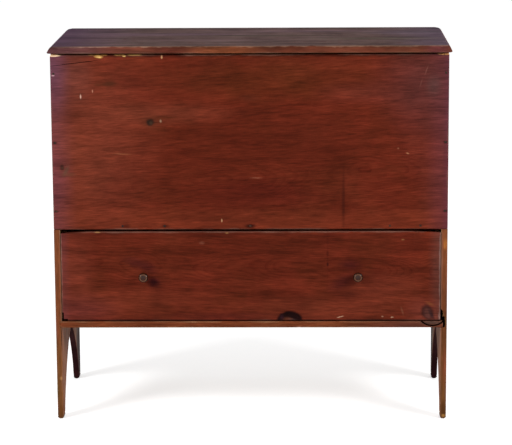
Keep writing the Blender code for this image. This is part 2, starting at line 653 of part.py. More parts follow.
def drawer_knobs(front, slide):
    height = (DRAWER_FRONT_FOOT + DRAWER_FRONT_TOP) / 2
    for name, side in SIDES:
        x = side * KNOB_SPACING / 2
        knob = turned(f"drawer_knob_{name}", knob_profile(), ROUND_SIDES, (x, FRONT_Y, height), FACE_FRONT)
        part(knob, KNOB_WOOD, slide)
        length = DRAWER_FRONT_THICKNESS + 2 * OVERCUT
        middle = (x, FRONT_Y + DRAWER_FRONT_THICKNESS / 2, height)
        cut(front, cutter(rod(f"{name}_knob_hole", KNOB_TENON_RADIUS + GAP, length, middle, FACE_FRONT)))


def panel_nails(panel, back, slide):
    """Nails up through the drawer bottom into the drawer back."""
    from_edge = DRAWER_BACK_THICKNESS / 2
    height = PANEL_TOP - PANEL_EDGE - PANEL_SLOPE * from_edge
    for name, side in SIDES:
        place = (side * PANEL_NAIL_SPACING / 2, DRAWER_REAR_Y - from_edge, height)
        nail(f"drawer_bottom_nail_{name}", place, FACE_DOWN, (panel, back), PANEL_NAIL_LENGTH, slide)


def build():
    lid_axis = pivot("lid_hinge", (0.0, HINGE_Y, HINGE_Z))
    slide = pivot("drawer_slide", (0.0, FRONT_Y, RAIL_TOP))
    ends = end_boards()
    front = front_board()
    backs = back_boards()
    bottoms = chest_bottom()
    drawer_frame()
    case_nails(ends, front, backs, bottoms)
    lid = lid_board(lid_axis)
    hinges(lid, backs[0], lid_axis)
    face = drawer_front(slide)
    drawer_sides(slide)
    rear = drawer_back(slide)
    panel = drawer_bottom(slide)
    drawer_knobs(face, slide)
    panel_nails(panel, rear, slide)


build()
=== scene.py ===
"""Looks of a pine blanket chest: red-stained boards with rubbed edges, a lift lid and one long drawer."""

import json
import math

import bmesh
import bpy
from mathutils import Matrix, Vector


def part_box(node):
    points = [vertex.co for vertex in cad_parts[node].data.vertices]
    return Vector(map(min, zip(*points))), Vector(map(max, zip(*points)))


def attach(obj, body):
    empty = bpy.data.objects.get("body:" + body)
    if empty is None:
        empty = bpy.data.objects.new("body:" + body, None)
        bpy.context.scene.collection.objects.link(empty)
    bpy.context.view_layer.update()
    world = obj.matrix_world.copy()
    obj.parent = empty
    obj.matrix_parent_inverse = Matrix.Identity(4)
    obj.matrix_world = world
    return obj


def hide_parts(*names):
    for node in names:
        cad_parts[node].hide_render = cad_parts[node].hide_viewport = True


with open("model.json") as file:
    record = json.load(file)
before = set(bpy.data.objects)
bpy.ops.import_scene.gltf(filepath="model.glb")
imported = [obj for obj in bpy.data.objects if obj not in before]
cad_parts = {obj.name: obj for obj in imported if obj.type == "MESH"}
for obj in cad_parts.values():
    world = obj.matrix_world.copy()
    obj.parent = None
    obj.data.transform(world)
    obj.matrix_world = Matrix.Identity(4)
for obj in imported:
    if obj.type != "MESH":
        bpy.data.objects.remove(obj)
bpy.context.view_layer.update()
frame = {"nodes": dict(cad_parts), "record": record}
NODES = frame["nodes"]
bpy.ops.object.select_all(action="DESELECT")

# Modelling
WELD = 0.00001
FLAT = math.radians(0.5)
SMOOTH = math.radians(40)
SHARP = math.radians(60)
NEAR = 0.0002  # a point this close to a plane lies on it
ARRIS_SEGMENTS = 3
SLICE = 0.024  # spacing of the cuts that let an edge wear unevenly
KNOB_STEPS = 48
PLANED_BLOCK = 0.3  # size of the block that a plane takes off
LID_END_WEAR = ((-1, 0.009), (1, 0.007))  # each end of the lid is worn back this far along its top
LID_END_REACH = 0.022
LID_END_FOOT = 0.003  # the wear of an end starts this far above the lid's underside
NOSING_DEPTH = 0.012  # the lid's front edge is rubbed this far in, above a plain foot
NOSING_FOOT = 0.004
FOOT_TOP = 0.014  # the feet are worn below this height
FOOT_WEAR = ((0.0, 0.36), (0.0014, 0.56), (0.0036, 0.74), (0.0068, 0.89), (0.0110, 0.97))
ARCH_DROP = 0.01  # the arch of an end board lies this far below the rail
ARCH_INSET = 0.005  # and this far in from the board's edges
ARCH_FLOOR = 0.0005
ARCH_EDGE = 0.008  # its edges are longer than this
CORNER = 0.5  # faces meet at more than this angle on an arris
MM = 0.001

# Places on the chest
FRONT_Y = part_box("front_board")[0].y
BACK_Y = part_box("back_board_top")[1].y
RAIL_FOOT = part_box("drawer_rail")[0].z
HALF_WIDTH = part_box("right_end_board")[1].x
HALF_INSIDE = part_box("right_end_board")[0].x
LID_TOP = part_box("lid")[1].z
LID_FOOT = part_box("lid")[0].z
LID_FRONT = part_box("lid")[0].y

# Wood: the width of each pattern across the grain. Real fibres are far finer than this; they are drawn as coarse as
# they need to be to show.
ALONG = 0.05  # how much slower a pattern changes along the grain than across it
BEND = 250 * MM
YEARS = 18 * MM
WISP = 6.6 * MM
FIBRE = 1.6 * MM
CLOUD = 83 * MM
STAIN = 280 * MM
BAND = 29.4 * MM
SWIRL = 60 * MM  # how far the rings wander
WISP_RUN = 2.2  # wisps are this much shorter than fibres
BAND_RUN = 0.16  # bands are stretched along the grain by this
TEAR = ((20 * MM, 9 * MM), (4.2 * MM, 2.5 * MM))  # width and reach of the rags at the edges of large and thin marks
THIN_MARK = 6 * MM  # a mark with half a side under this is thin
WOOD_BUMP = 0.5 * MM

# Iron, and the dirt and painted shade in the cuts
PIT = 1.4 * MM
RUST = 7 * MM
CRUMB = 1.1 * MM

# Maple of the knobs, across and along its grain
MAPLE = 2 * MM
MAPLE_RUN = 17 * MM


def only(piece):
    """Makes a piece the one that the operators act on."""
    bpy.ops.object.select_all(action="DESELECT")
    piece.select_set(True)
    bpy.context.view_layer.objects.active = piece


def pick(piece, kind, wanted):
    """Opens a piece for editing, with the vertices, edges or faces selected that a test picks."""
    only(piece)
    bpy.ops.object.mode_set(mode="EDIT")
    bpy.ops.mesh.select_mode(type=kind)
    bpy.ops.mesh.select_all(action="DESELECT")
    shape = bmesh.from_edit_mesh(piece.data)
    for item in {"VERT": shape.verts, "EDGE": shape.edges, "FACE": shape.faces}[kind]:
        if wanted(item):
            item.select_set(True)
    bmesh.update_edit_mesh(piece.data)


def close():
    bpy.ops.object.mode_set(mode="OBJECT")


def apply(piece, kind, **settings):
    """Adds a modifier to a piece and applies it."""
    only(piece)
    modifier = piece.modifiers.new(kind.lower(), kind)
    for key, value in settings.items():
        setattr(modifier, key, value)
    bpy.ops.object.modifier_apply(modifier=modifier.name)


def copied(node, name):
    """A welded copy of a CAD solid, with its flat faces whole, to work on."""
    piece = bpy.data.objects.new(name, NODES[node].data.copy())
    bpy.context.scene.collection.objects.link(piece)
    piece.data.materials.clear()
    pick(piece, "VERT", lambda vert: True)
    bpy.ops.mesh.remove_doubles(threshold=WELD)
    bpy.ops.mesh.dissolve_limited(angle_limit=FLAT)
    close()
    return piece


def corners(piece):
    points = [vert.co for vert in piece.data.vertices]
    return tuple(Vector(map(pick_end, *points)) for pick_end in (min, max))


def walls(point, low, high, reach):
    """How many of a box's walls a point is near to."""
    gaps = [abs(point[i] - wall[i]) for i in range(3) for wall in (low, high)]
    return sum(gap < reach for gap in gaps)


def on_rim(low, high):
    """A test for edges that lie on an outer arris of a board."""

    def test(edge):
        middle = (edge.verts[0].co + edge.verts[1].co) / 2
        return all(walls(point, low, high, NEAR) >= 2 for point in (edge.verts[0].co, middle, edge.verts[1].co))

    return test


def sliced(piece, axis, spacing=SLICE):
    """Cuts a board across at even steps."""
    low, high = corners(piece)
    count = round((high[axis] - low[axis]) / spacing)
    across = [float(i == axis) for i in range(3)]
    pick(piece, "VERT", lambda vert: True)
    for i in range(1, count):
        place = [0.0, 0.0, 0.0]
        place[axis] = low[axis] + (high[axis] - low[axis]) * i / count
        bpy.ops.mesh.select_all(action="SELECT")
        bpy.ops.mesh.bisect(plane_co=place, plane_no=across)
    close()


RUB = bpy.data.textures.new("rubbing", "CLOUDS")
RUB.noise_scale = 0.035
RUB.noise_depth = 2


def rubbed(piece, radius, rub, axis, wanted=None):
    """Rounds the arrises of a board, then wears them down unevenly along its length."""
    low, high = corners(piece)
    pick(piece, "EDGE", wanted or on_rim(low, high))
    bpy.ops.mesh.bevel(offset=radius, segments=ARRIS_SEGMENTS, profile=0.5, affect="EDGES")
    close()
    if rub:
        sliced(piece, axis)
        group = piece.vertex_groups.new(name="arris")
        inner = [v for v in piece.data.vertices if not walls(v.co, low, high, NEAR)]
        worn = [v.index for v in inner if walls(v.co, low, high, radius) >= 2]
        group.add(worn, 1.0, "REPLACE")
        wear = {"texture": RUB, "texture_coords": "LOCAL", "strength": -rub, "mid_level": 0.0}
        apply(piece, "DISPLACE", vertex_group="arris", **wear)


def carved(piece, tool, finish):
    """Cuts a tool's shape out of a board. The cut takes the board's finish of that number."""
    for shape in (piece, tool):
        while len(shape.data.materials) < 2:
            shape.data.materials.append(None)
    for face in tool.data.polygons:
        face.material_index = finish
    apply(piece, "BOOLEAN", object=tool, operation="DIFFERENCE", solver="EXACT")
    bpy.data.objects.remove(tool)


def gouged(piece, place, size, turn=0.0, finish=0):
    """Knocks a ragged chip out of a board, or opens a split where one size is thin."""
    bpy.ops.object.select_all(action="DESELECT")
    bpy.ops.mesh.primitive_ico_sphere_add(subdivisions=3, radius=1.0)
    tool = bpy.context.active_object
    tool.scale = size
    tool.rotation_euler = (0.0, turn, 0.0)
    tool.location = place
    bpy.ops.object.transform_apply(location=True, rotation=True, scale=True)
    ragged = {"texture": RUB, "texture_coords": "LOCAL", "mid_level": 0.5}
    apply(tool, "DISPLACE", strength=min(size), **ragged)
    carved(piece, tool, finish)


def notched(piece, low, high, turn=0.0, finish=0):
    """Saws a square notch out of a board, or a slot."""
    low, high = Vector(low), Vector(high)
    bpy.ops.object.select_all(action="DESELECT")
    shape = {"location": (low + high) / 2, "rotation": (0.0, 0.0, turn), "scale": high - low}
    bpy.ops.mesh.primitive_cube_add(size=1.0, **shape)
    tool = bpy.context.active_object
    bpy.ops.object.transform_apply(location=True, rotation=True, scale=True)
    carved(piece, tool, finish)


def planed(piece, place, facing):
    """Planes a board off at a point, on the side that a direction points to."""
    turn = Vector(facing).to_track_quat("Z", "Y")
    middle = Vector(place) + turn @ Vector((0.0, 0.0, PLANED_BLOCK / 2))
    bpy.ops.object.select_all(action="DESELECT")
    bpy.ops.mesh.primitive_cube_add(size=PLANED_BLOCK, location=middle, rotation=turn.to_euler())
    tool = bpy.context.active_object
    bpy.ops.object.transform_apply(location=True, rotation=True, scale=True)
    carved(piece, tool, 0)


def shaded(piece, finishes):
    """Gives a piece its finishes, each with a test that picks its faces, and even shading on flat faces."""
    slots = piece.data.materials
    for i, (finish, wanted) in enumerate(finishes):
        if i < len(slots):
            slots[i] = finish
        else:
            slots.append(finish)
        for face in piece.data.polygons:
            if wanted and wanted(face):
                face.material_index = i
    only(piece)
    bpy.ops.object.shade_smooth_by_angle(angle=SMOOTH)
    apply(piece, "WEIGHTED_NORMAL", keep_sharp=True)


def placed(piece, body, node):
    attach(piece, body)
    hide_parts(node)


def tint(code):
    """An sRGB hex colour as the linear colour that a shader takes."""
    parts = [int(code[i:i + 2], 16) / 255 for i in (1, 3, 5)]
    return (*(c / 12.92 if c <= 0.04045 else ((c + 0.055) / 1.055) ** 2.4 for c in parts), 1.0)


def add(tree, kind, inputs=(), out=0, stops=(), **settings):
    """Adds a node with its settings, values and links, and gives back one of its outputs."""
    node = tree.nodes.new("ShaderNode" + kind)
    for key, value in settings.items():
        setattr(node, key, value)
    for key, value in dict(inputs).items():
        if isinstance(value, bpy.types.NodeSocket):
            tree.links.new(value, node.inputs[key])
        else:
            node.inputs[key].default_value = value
    for i, (place, code) in enumerate(stops):
        stop = node.color_ramp.elements[i] if i < 2 else node.color_ramp.elements.new(place)
        stop.position = place
        stop.color = tint(code)
    return node if out is None else node.outputs[out]


def new_finish(name, roughness, specular):
    finish = bpy.data.materials.new(name)
    finish.use_nodes = True
    shader = finish.node_tree.nodes["Principled BSDF"]
    shader.inputs["Roughness"].default_value = roughness
    shader.inputs["Specular IOR Level"].default_value = specular
    return finish, finish.node_tree, shader


def edge_distance(tree, place, low, high):
    """Distance along a box's surface to its nearest arris: the middle one of the depths below its walls."""
    middle = (low + high) / 2
    off = add(tree, "VectorMath", {0: place, 1: middle}, operation="SUBTRACT")
    off = add(tree, "VectorMath", {0: off}, operation="ABSOLUTE")
    depth = add(tree, "VectorMath", {0: high - middle, 1: off}, operation="SUBTRACT")
    x, y, z = add(tree, "SeparateXYZ", {0: depth}, out=None).outputs
    least = add(tree, "Math", {0: x, 1: y}, operation="MINIMUM")
    most = add(tree, "Math", {0: x, 1: y}, operation="MAXIMUM")
    most = add(tree, "Math", {0: most, 1: z}, operation="MINIMUM")
    return add(tree, "Math", {0: least, 1: most}, operation="MAXIMUM")


def pine(name, grain, pith, tones, ring=3.2 * MM, tilt=(0.0, 0.0, 0.0), blotch=0.5, wear=None, fades=(), marks=(),
         roughness=0.6, specular=0.03, relief=0.25, uneven=0.3):
    """Pine sawn from a log whose heart runs along the grain axis through the pith point.

    Growth rings show as soft bands and fine dark lines, wide over the heart and close to either side of it. Wisps and
    fibres are streaks along the grain, blotches are where the stain took unevenly, and rubbed arrises are paler.
    """
    finish, tree, shader = new_finish(name, roughness, specular)
    axis = "XYZ".index(grain)
    across = [float(i != axis) for i in range(3)]
    place = add(tree, "TexCoord", out="Object")
    heart = {"Vector": place, "Location": pith, "Rotation": tilt, "Scale": [c or 1 / ALONG for c in across]}
    log = add(tree, "Mapping", heart, vector_type="TEXTURE")
    drift = add(tree, "TexNoise", {"Vector": place, "Scale": 1 / BEND, "Detail": 2.0, "Roughness": 0.45})
    spoke = add(tree, "VectorMath", {0: log, 1: across}, operation="MULTIPLY")
    radius = add(tree, "VectorMath", {0: spoke}, out="Value", operation="LENGTH")
    radius = add(tree, "Math", {0: drift, 1: SWIRL, 2: radius}, operation="MULTIPLY_ADD")
    count = add(tree, "Math", {0: radius, 1: ring}, operation="DIVIDE")
    rings = add(tree, "Math", {0: count}, operation="FRACT")
    growth = {"W": radius, "Scale": 1 / YEARS, "Detail": 3.0, "Roughness": 0.6}
    years = add(tree, "TexNoise", growth, noise_dimensions="1D")
    short = add(tree, "VectorMath", {0: log, 1: [c or WISP_RUN for c in across]}, operation="MULTIPLY")
    wisps = add(tree, "TexNoise", {"Vector": short, "Scale": 1 / WISP, "Detail": 3.0, "Roughness": 0.55})
    fibres = add(tree, "TexNoise", {"Vector": log, "Scale": 1 / FIBRE, "Detail": 2.0, "Roughness": 0.6})
    clouds = add(tree, "TexNoise", {"Vector": place, "Scale": 1 / CLOUD, "Detail": 5.0, "Roughness": 0.62})
    pools = {"Vector": place, "Scale": 1 / STAIN, "Detail": 4.0, "Roughness": 0.6, "Distortion": 0.6}
    wide = add(tree, "TexNoise", pools)
    slow = add(tree, "VectorMath", {0: place, 1: [c or BAND_RUN for c in across]}, operation="MULTIPLY")
    bands = add(tree, "TexNoise", {"Vector": slow, "Scale": 1 / BAND, "Detail": 4.0, "Roughness": 0.6})
    early, late, dark, light, worn = tones
    stops = [(0.0, early), (0.5, early), (0.88, late), (0.95, late), (1.0, early)]
    colour = add(tree, "ValToRGB", {"Fac": rings}, stops=stops)
    shade = add(tree, "MapRange", {"Value": years, "From Min": 0.4, "From Max": 0.75, "To Max": blotch})
    colour = add(tree, "Mix", {0: shade, 6: colour, 7: tint(late)}, out=2, data_type="RGBA")
    shade = add(tree, "MapRange", {"Value": clouds, "From Min": 0.42, "From Max": 0.7, "To Max": blotch})
    colour = add(tree, "Mix", {0: shade, 6: colour, 7: tint(dark)}, out=2, data_type="RGBA")
    glow = add(tree, "MapRange", {"Value": wide, "From Min": 0.5, "From Max": 0.75, "To Max": blotch})
    colour = add(tree, "Mix", {0: glow, 6: colour, 7: tint(light)}, out=2, data_type="RGBA")
    dashes = add(tree, "MapRange", {"Value": wisps, "From Min": 0.58, "From Max": 0.72, "To Max": 0.4 * blotch})
    colour = add(tree, "Mix", {0: dashes, 6: colour, 7: tint(dark)}, out=2, data_type="RGBA")
    torn = []
    for width, reach in TEAR:
        rough_place = add(tree, "TexNoise", {"Vector": place, "Scale": 1 / width, "Detail": 3.0}, out="Color")
        middle = add(tree, "VectorMath", {0: place, 1: (reach / 2,) * 3}, operation="SUBTRACT")
        torn.append(add(tree, "VectorMath", {0: rough_place, 1: (reach,) * 3, 2: middle}, operation="MULTIPLY_ADD"))
    spread = add(tree, "SeparateXYZ", {0: torn[0]}, out=None).outputs
    for along, start, stop, code, strength in fades:
        ends = {"Value": spread[along], "From Min": start, "From Max": stop, "To Max": strength}
        mask = add(tree, "MapRange", ends, interpolation_type="SMOOTHSTEP")
        colour = add(tree, "Mix", {0: mask, 6: colour, 7: tint(code)}, out=2, data_type="RGBA")
    if wear:
        low, high, reach, strength = wear
        gap = edge_distance(tree, place, low, high)
        ends = {"Value": clouds, "From Min": 0.35, "From Max": 0.65, "To Min": reach * 0.15, "To Max": reach}
        breadth = add(tree, "MapRange", ends)
        mask = add(tree, "MapRange", {"Value": gap, "From Min": breadth, "From Max": 0.0, "To Max": strength})
        flecks = add(tree, "MapRange", {"Value": wisps, "From Min": 0.35, "From Max": 0.6})
        mask = add(tree, "Math", {0: mask, 1: flecks}, operation="MULTIPLY")
        colour = add(tree, "Mix", {0: mask, 6: colour, 7: tint(worn)}, out=2, data_type="RGBA")
    for middle, size, turn, code, edge, strength in marks:
        ground = torn[min(size[0], size[2]) < THIN_MARK]
        around = {"Vector": ground, "Location": middle, "Rotation": (0.0, turn, 0.0), "Scale": size}
        far = add(tree, "Mapping", around, vector_type="TEXTURE")
        far = add(tree, "VectorMath", {0: far}, out="Value", operation="LENGTH")
        ends = {"Value": far, "From Min": 1.0 + edge, "From Max": 1.0 - edge, "To Max": strength}
        mask = add(tree, "MapRange", ends, interpolation_type="SMOOTHSTEP")
        colour = add(tree, "Mix", {0: mask, 6: colour, 7: tint(code)}, out=2, data_type="RGBA")
    for streak, depth in ((bands, uneven), (wisps, 0.24), (fibres, 0.3)):
        ends = {"Value": streak, "From Min": 0.25, "From Max": 0.75, "To Min": 1 + depth, "To Max": 1 - depth}
        streak = add(tree, "MapRange", ends)
        colour = add(tree, "VectorMath", {0: colour, 1: streak}, operation="MULTIPLY")
    tree.links.new(colour, shader.inputs["Base Color"])
    gloss = {"Value": clouds, "From Min": 0.3, "From Max": 0.7, "To Min": roughness - 0.07, "To Max": roughness + 0.1}
    tree.links.new(add(tree, "MapRange", gloss), shader.inputs["Roughness"])
    height = add(tree, "Math", {0: rings, 1: -0.3, 2: fibres}, operation="MULTIPLY_ADD")
    bump = add(tree, "Bump", {"Strength": relief, "Distance": WOOD_BUMP, "Height": height})
    tree.links.new(bump, shader.inputs["Normal"])
    return finish


def spot(x, z, wide, high, code, edge=0.35, strength=0.9, turn=0.0):
    """A mark on the front of the chest, in millimetres from its middle and from the floor."""
    return (x * MM, 0.0, z * MM), (wide * MM / 2, 0.0, high * MM / 2), turn, code, edge, strength


def knot(x, z, wide, high, strength=0.9):
    """A round knot: dark grain swirled round it, a black bark ring and a brown heart."""
    return [
        spot(x, z, wide * 2.4, high * 1.8, "#3f2012", 0.9, strength * 0.6),
        spot(x, z, wide, high, "#1c1510", 0.45, strength),
        spot(x + wide * 0.12, z - high * 0.1, wide * 0.5, high * 0.45, "#3d2a1e", 0.6, strength * 0.7),
    ]


def iron(name):
    """Forged iron under old oxide: near black with brown rust, pitted, and dull."""
    finish, tree, shader = new_finish(name, 0.62, 0.2)
    shader.inputs["Metallic"].default_value = 0.3
    place = add(tree, "TexCoord", out="Object")
    pits = add(tree, "TexNoise", {"Vector": place, "Scale": 1 / PIT, "Detail": 5.0, "Roughness": 0.7})
    rust = add(tree, "TexNoise", {"Vector": place, "Scale": 1 / RUST, "Detail": 4.0})
    colour = add(tree, "ValToRGB", {"Fac": rust},
                 stops=[(0.36, "#141110"), (0.52, "#261b15"), (0.68, "#45291a")])
    tree.links.new(colour, shader.inputs["Base Color"])
    gloss = {"Value": pits, "From Min": 0.3, "From Max": 0.7, "To Min": 0.48, "To Max": 0.8}
    tree.links.new(add(tree, "MapRange", gloss), shader.inputs["Roughness"])
    bump = add(tree, "Bump", {"Strength": 0.4, "Distance": 0.3 * MM, "Height": pits})
    tree.links.new(bump, shader.inputs["Normal"])
    return finish


def packed_dirt_and_shade(name):
    """Nearly black in the cuts: old dust and wax packed into cracks, made darker as painted shade of their depth; dry
    and crumbly.
    """
    finish, tree, shader = new_finish(name, 0.95, 0.0)
    place = add(tree, "TexCoord", out="Object")
    crumbs = add(tree, "TexNoise", {"Vector": place, "Scale": 1 / CRUMB, "Detail": 4.0})
    colour = add(tree, "ValToRGB", {"Fac": crumbs}, stops=[(0.35, "#0a0504"), (0.65, "#1e110c")])
    tree.links.new(colour, shader.inputs["Base Color"])
    bump = add(tree, "Bump", {"Strength": 0.5, "Distance": 0.4 * MM, "Height": crumbs})
    tree.links.new(bump, shader.inputs["Normal"])
    return finish


# Tones of each finish: early wood, late wood, dark blotches, pale blotches and rubbed arrises

# Red stain over planed pine: a deep brown red, matt, with the grain showing through
RED = ("#5b2113", "#521b0f", "#3e190b", "#6d2d1b", "#866052")
# The same stain where hands and feet rubbed it: thinner and browner
EDGE_RED = ("#6c371f", "#5c2a17", "#4a2011", "#7a482c", "#9c7050")
# Stain weathered on the lid: grey brown, dry and dull; the grey also stands for a painted sheen of the top seen at a
# low angle
LID_GREY = ("#5c4643", "#4e3937", "#3c2f2e", "#6c5550", "#8d7160")
# A thin wash on rough-sawn back boards: pale brown, with a furry grain
WASH = ("#6e4630", "#5a3825", "#452a1d", "#7d583f", "#94704e")
# Brown stain inside the legs: warm and even
LEG_BROWN = ("#8a5a3e", "#744731", "#5e3a26", "#966a4c", "#a4805c")
# Sawn wood of the arches: nearly black, dirt together with painted shade where the rear legs stand in the case's
# shadow
ARCH_SHADE_AND_DIRT = ("#2e1416", "#260f12", "#1b0a0d", "#3d2220", "#4a2c26")
# Bare pine darkened by age: honey brown, with clear rings
BARE = ("#a57c4e", "#8b6339", "#7d5b3a", "#b58d5d", "#b58d5d")

FRONT_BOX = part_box("front_board")
DRAWER_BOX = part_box("drawer_front")
RAIL_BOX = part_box("drawer_rail")
LID_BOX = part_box("lid")

front_marks = [
    # where the stain took darker or paler
    spot(-190, 690, 420, 240, "#4a180c", 0.8, 0.4),
    spot(170, 731, 260, 90, "#46160b", 0.7, 0.35),
    spot(20, 790, 320, 260, "#4a170b", 0.9, 0.3),
    spot(60, 920, 420, 90, "#4f240f", 0.8, 0.4),
    spot(10, 618, 240, 66, "#430f0c", 0.8, 0.42),
    # paler towards the left end: painted light from the stronger left lamp
    spot(-440, 770, 280, 440, "#6f3627", 0.8, 0.33),
    spot(300, 889, 170, 48, "#74352a", 0.9, 0.26),
    spot(-230, 834, 280, 44, "#84402c", 0.9, 0.3),
    spot(170, 752, 190, 120, "#48180d", 0.9, 0.28),
    spot(-70, 612, 200, 64, "#45160b", 0.9, 0.3),
    # purple haze towards the ends: partly painted reflection of the side lamps, partly tone
    spot(-518, 940, 56, 150, "#5c3e54", 0.9, 0.45),
    spot(-462, 935, 70, 120, "#6a4038", 0.9, 0.24),
    spot(-522, 850, 50, 180, "#5c3238", 0.9, 0.22),
    spot(-519, 660, 60, 140, "#4f2734", 0.9, 0.3),
    spot(-424, 570, 140, 70, "#481a0e", 0.9, 0.32),
    spot(462, 920, 190, 190, "#4e2c2a", 0.9, 0.45),
    spot(482, 850, 140, 280, "#4f2b30", 0.9, 0.16),
    spot(504, 636, 84, 240, "#7c3a33", 0.9, 0.2),
    # knots and the grain round them
    *knot(-264, 811, 19, 18),
    spot(-222, 823, 44, 8, "#46200f", 0.9, 0.55),
    spot(-238, 792, 30, 9, "#4b1f10", 0.9, 0.5),
    *knot(-500, 690, 11, 14, 0.6),
    spot(-490, 680, 9, 26, "#4a3b2c", 0.9, 0.5, 0.5),
    spot(-484, 671, 34, 9, "#4c3020", 0.9, 0.5),
    # smudges and a dark streak across the grain
    spot(486, 906, 34, 46, "#443532", 0.9, 0.4),
    spot(-370, 913, 36, 13, "#3a2012", 0.7, 0.6),
    spot(-400, 911, 20, 7, "#4a2616", 0.8, 0.5),
    spot(0, 875, 44, 18, "#3f1a0f", 0.8, 0.5),
    spot(248, 604, 8, 130, "#36120b", 0.8, 0.6),
    # flecks and scratches
    spot(-236, 814, 5, 7, "#a8866a", 0.7, 0.65),
    spot(-447, 880, 3.4, 11, "#c09884", 0.7, 0.8),
    spot(-415, 894, 3, 7, "#a06a54", 0.7, 0.8),
    spot(-519, 936, 8, 4, "#b28a90", 0.6, 0.8),
    spot(-231, 984, 4, 8, "#b98a62", 0.6, 0.8),
    spot(-76, 546, 3.5, 8, "#c99a70", 0.5, 0.8),
    spot(393, 739, 5, 4, "#9a6248", 0.8, 0.45, 0.4),
    spot(418, 726, 7, 3.5, "#a87452", 0.8, 0.48, 0.3),
    spot(16, 661, 26, 2.2, "#8a5540", 0.8, 0.55),
    spot(-340, 726, 38, 3, "#8a5236", 0.8, 0.5, 0.05),
    spot(466, 947, 2.4, 20, "#85564a", 0.9, 0.34, 0.35),
    spot(452, 913, 2.4, 18, "#85564a", 0.9, 0.24, 0.3),
    # bare wood in the chips along the top
    spot(-416, 990, 16, 4, "#a87a46", 0.5, 0.6),
    spot(-398, 986, 22, 8, "#b98a4c", 0.4, 0.85, 0.12),
    spot(-397, 985, 11, 4, "#d9b26c", 0.6, 0.9, 0.2),
    spot(-383, 990, 16, 4, "#b08346", 0.5, 0.6),
    spot(-342, 990, 26, 4.5, "#bd9258", 0.4, 0.75),
    spot(-330, 987, 8, 4, "#cda564", 0.5, 0.75),
    spot(-303, 990, 34, 4, "#c09658", 0.4, 0.8),
    spot(-520, 989, 40, 6, "#dcc09a", 0.35, 0.9),
    spot(516, 990, 34, 5, "#cf9a62", 0.4, 0.85),
    # iron stain round the nails
    spot(-331, 531, 20, 9, "#38120a", 0.8, 0.8),
    spot(-228, 531, 20, 8, "#38120a", 0.8, 0.8),
    spot(0, 531, 24, 10, "#240c08", 0.7, 0.9),
    spot(-518, 756, 12, 6, "#2a0e0c", 0.7, 0.8),
    spot(518, 756, 12, 6, "#2a0e0c", 0.7, 0.8),
    spot(-520, 571, 14, 6, "#2a0e0c", 0.7, 0.8),
    spot(520, 571, 14, 6, "#2a0e0c", 0.7, 0.8),
]
# Fades: the axis, where the change starts and ends, the colour and its strength
front_fades = [
    # painted shadow of the lid along the top of the front board
    (2, 0.982, 0.9895, "#240d08", 0.75),
    (2, 0.581, 0.567, "#74311d", 0.32),
    # purple haze towards the ends: partly painted reflection of the side lamps, partly tone
    (0, -0.450, -0.540, "#5d3842", 0.5),
    (0, 0.458, 0.526, "#522c36", 0.48),
    (0, 0.508, 0.525, "#52283c", 0.35),
]
drawer_marks = [
    # where the stain took darker or paler
    spot(-40, 284, 380, 18, "#3a120e", 0.9, 0.6),
    spot(-330, 322, 330, 64, "#743320", 0.9, 0.35),
    spot(-480, 395, 90, 230, "#6a2f22", 0.9, 0.4),
    spot(-110, 446, 330, 120, "#44150a", 0.9, 0.4),
    spot(-455, 302, 150, 64, "#542629", 0.9, 0.3),
    spot(230, 306, 400, 54, "#823a26", 0.9, 0.36),
    spot(350, 362, 180, 64, "#7c3826", 0.9, 0.3),
    spot(455, 297, 60, 60, "#73352a", 0.9, 0.45),
    # dark patches round the knobs: darker tone above each, painted shadow of the knob below it
    spot(-304, 430, 64, 22, "#3a1412", 0.9, 0.6, 0.3),
    spot(-272, 416, 40, 26, "#371110", 0.9, 0.5, 0.5),
    # below the left knob: painted shadow of the knob
    spot(-260, 378, 28, 22, "#250810", 0.8, 0.88, 0.5),
    spot(-250, 362, 30, 70, "#40160d", 0.9, 0.4),
    spot(266, 424, 48, 24, "#331011", 0.9, 0.6),
    # below the right knob: painted shadow of the knob
    spot(250, 378, 70, 30, "#330f10", 0.9, 0.6, -0.5),
    spot(262, 342, 50, 22, "#35120c", 0.9, 0.5),
    # large knot at the foot
    spot(104, 271, 68, 54, "#0f0506", 0.12, 0.96),
    spot(99, 268, 32, 24, "#603020", 0.4, 0.85),
    spot(116, 273, 26, 6, "#4a3633", 0.8, 0.5, 0.3),
    spot(83, 281, 10, 16, "#351a22", 0.8, 0.45),
    # small knot at the right
    spot(474, 294, 31, 43, "#321a17", 0.3, 0.88, -0.5),
    spot(474, 292, 18, 27, "#542e28", 0.45, 0.85, -0.5),
    spot(484, 288, 7, 28, "#281819", 0.7, 0.7, -0.5),
    spot(480, 318, 20, 7, "#7a4a28", 0.8, 0.35, 0.4),
    # flecks and scratches
    spot(240, 282, 17, 2.6, "#c49c7e", 0.5, 0.7, -0.25),
    spot(353, 283, 5, 3.5, "#a87a62", 0.6, 0.75),
    spot(379, 281, 7, 3.2, "#c49c7e", 0.5, 0.72),
    spot(406, 298, 4, 18, "#84543e", 0.9, 0.4, -0.3),
    spot(407, 493, 8, 3.4, "#94623c", 0.7, 0.55),
    spot(-130, 485, 12, 7, "#7c4a38", 0.8, 0.35),
    # dark streak across the grain
    spot(206, 460, 5, 150, "#46160c", 0.9, 0.4),
    spot(206, 426, 5, 9, "#200a08", 0.6, 0.8),
    spot(206, 455, 6, 12, "#2c0d09", 0.7, 0.35),
    # bare wood along the top, painted shade along the foot, in the gap above the rail
    spot(-409, 514, 14, 3, "#a5794c", 0.6, 0.8),
    spot(-63, 512, 8, 4, "#96693f", 0.6, 0.7),
    spot(0, DRAWER_BOX[0].z / MM, 4000, 7, "#1c0a07", 0.6, 0.8),
]
rail_marks = [
    spot(430, 260, 200, 40, "#532d24", 0.9, 0.75),
    spot(487, 266, 58, 9, "#463730", 0.6, 0.75),
    spot(130, 254, 12, 4, "#b0806a", 0.8, 0.7),
]
